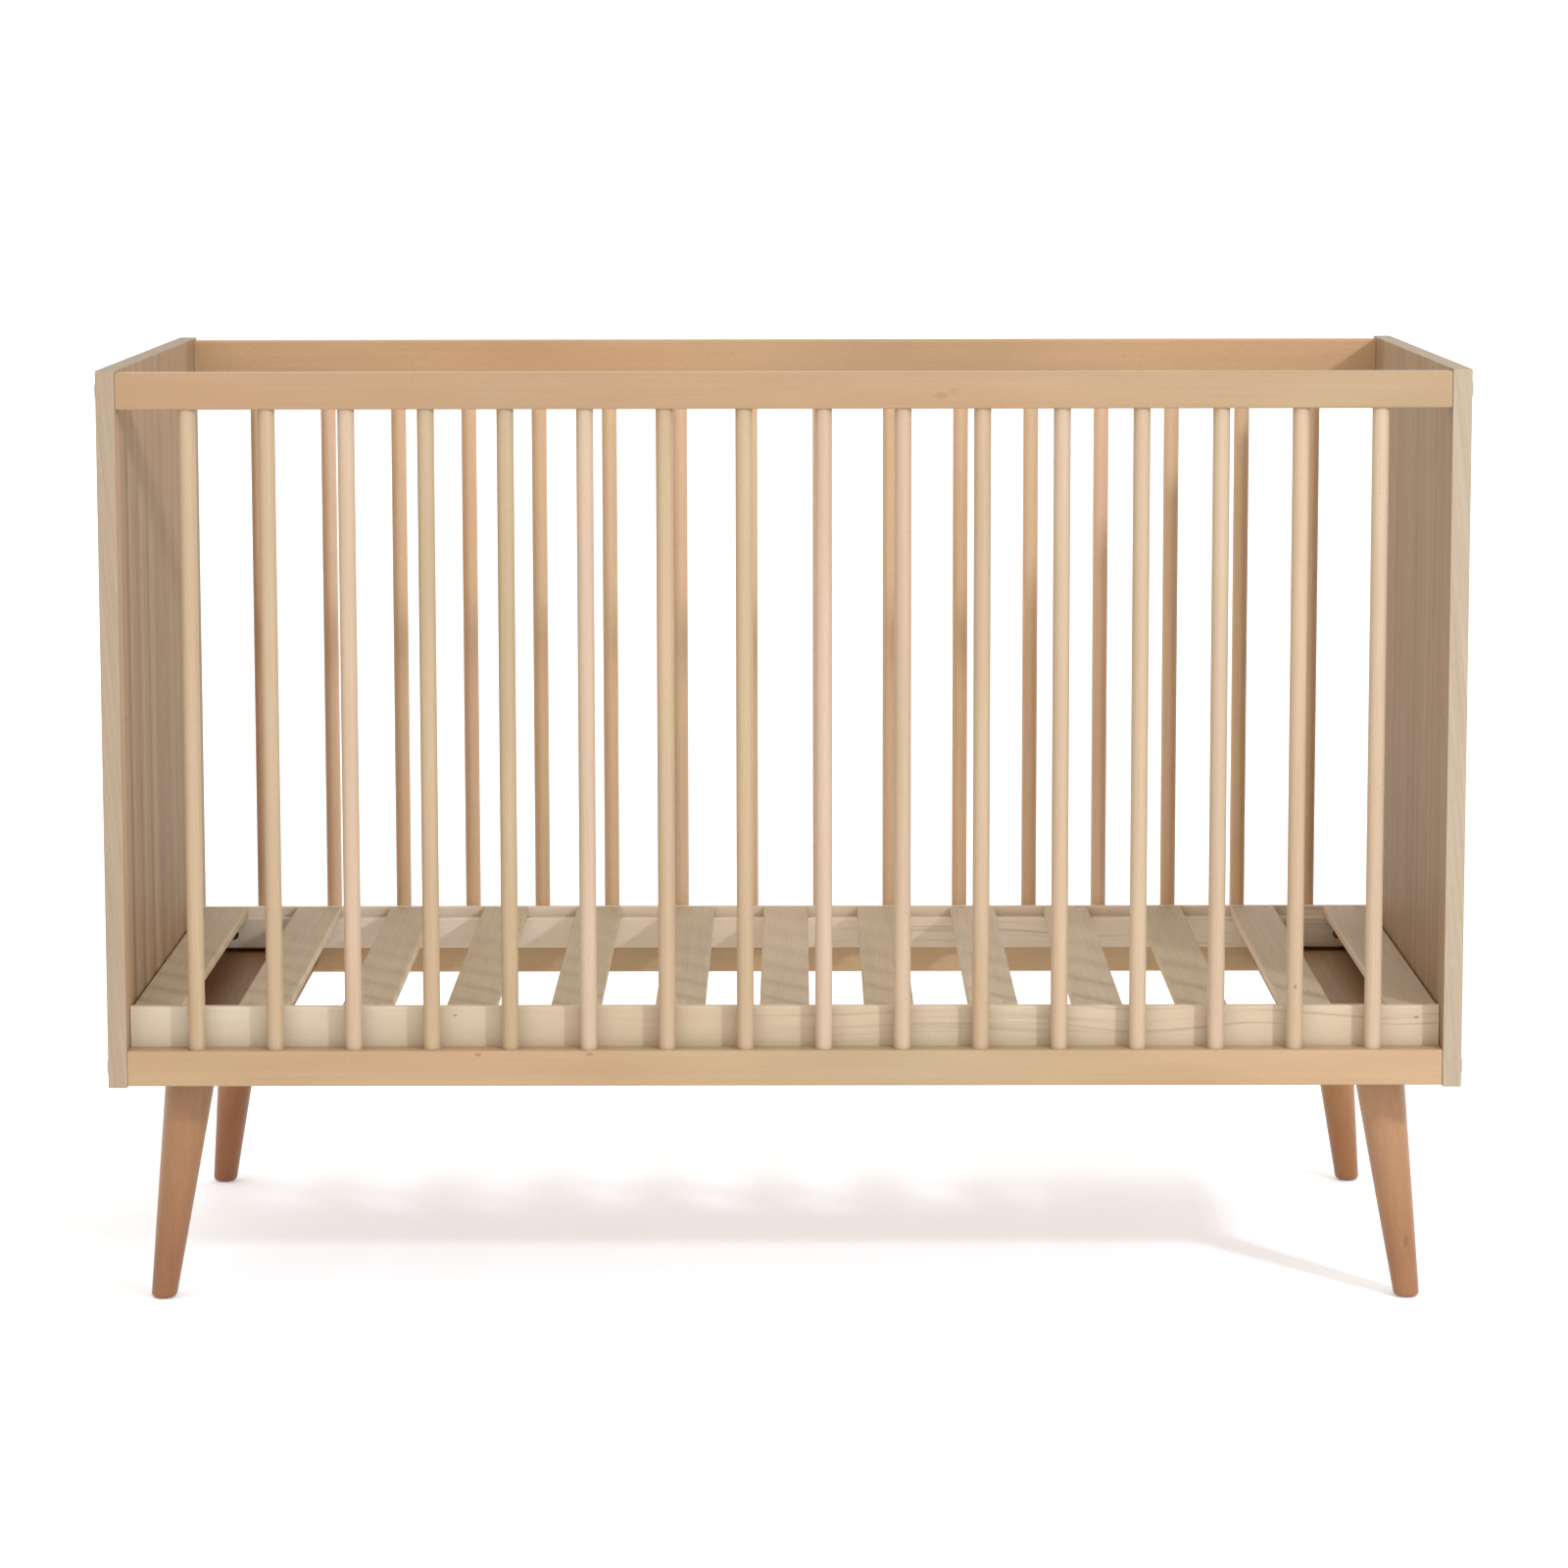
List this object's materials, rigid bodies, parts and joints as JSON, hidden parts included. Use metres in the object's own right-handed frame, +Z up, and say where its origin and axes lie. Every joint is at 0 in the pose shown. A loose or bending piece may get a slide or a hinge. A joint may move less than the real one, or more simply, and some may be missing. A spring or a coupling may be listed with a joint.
{
  "type": "baby crib",
  "caption": "Rectangular crib with flat wood-grain end panels, round-barred long sides, a slatted base that bolts in low or high, and splayed tapered legs.",
  "frame": {"origin": "on the floor under the middle of the crib", "axes": "+X along the crib's length, to the right as seen from the front; +Y to the rear; +Z up"},
  "size_m": [1.276, 0.66, 0.892],
  "materials": {
    "end_panel_board": "oak-effect melamine board, fine vertical grain, satin",
    "leg_board": "oak-effect melamine board, satin",
    "beech_rail": "clear satin lacquer on beech",
    "beech_bar": "clear satin lacquer on turned beech",
    "beech_leg": "oiled turned beech, satin",
    "base_rail_wood": "planed, unfinished",
    "slat_wood": "planed, unfinished",
    "zinc_steel": "zinc-plated bolts, cross dowels and staples"
  },
  "bodies": {
    "frame": {"left_end_panel": "end_panel_board", "right_end_panel": "end_panel_board", "front_top_rail": "beech_rail", "front_bottom_rail": "beech_rail", "rear_top_rail": "beech_rail", "rear_bottom_rail": "beech_rail", "front_bar_01": "beech_bar", "front_bar_02": "beech_bar", "front_bar_03": "beech_bar", "front_bar_04": "beech_bar", "front_bar_05": "beech_bar", "front_bar_06": "beech_bar", "front_bar_07": "beech_bar", "front_bar_08": "beech_bar", "front_bar_09": "beech_bar", "front_bar_10": "beech_bar", "front_bar_11": "beech_bar", "front_bar_12": "beech_bar", "front_bar_13": "beech_bar", "front_bar_14": "beech_bar", "front_bar_15": "beech_bar", "front_bar_16": "beech_bar", "rear_bar_01": "beech_bar", "rear_bar_02": "beech_bar", "rear_bar_03": "beech_bar", "rear_bar_04": "beech_bar", "rear_bar_05": "beech_bar", "rear_bar_06": "beech_bar", "rear_bar_07": "beech_bar", "rear_bar_08": "beech_bar", "rear_bar_09": "beech_bar", "rear_bar_10": "beech_bar", "rear_bar_11": "beech_bar", "rear_bar_12": "beech_bar", "rear_bar_13": "beech_bar", "rear_bar_14": "beech_bar", "rear_bar_15": "beech_bar", "rear_bar_16": "beech_bar", "left_leg_board": "leg_board", "right_leg_board": "leg_board", "front_left_leg": "beech_leg", "front_right_leg": "beech_leg", "rear_left_leg": "beech_leg", "rear_right_leg": "beech_leg"},
    "bed_base": {"bed_base_front_rail": "base_rail_wood", "bed_base_rear_rail": "base_rail_wood", "slat_01": "slat_wood", "slat_02": "slat_wood", "slat_03": "slat_wood", "slat_04": "slat_wood", "slat_05": "slat_wood", "slat_06": "slat_wood", "slat_07": "slat_wood", "slat_08": "slat_wood", "slat_09": "slat_wood", "slat_10": "slat_wood", "slat_11": "slat_wood", "slat_12": "slat_wood", "slat_13": "slat_wood"}
  },
  "joints": [
    {"name": "bed_base_height", "type": "slide", "parent": "frame", "child": "bed_base", "axis": [0, 0, 1], "range_m": [0, 0.3]}
  ]
}
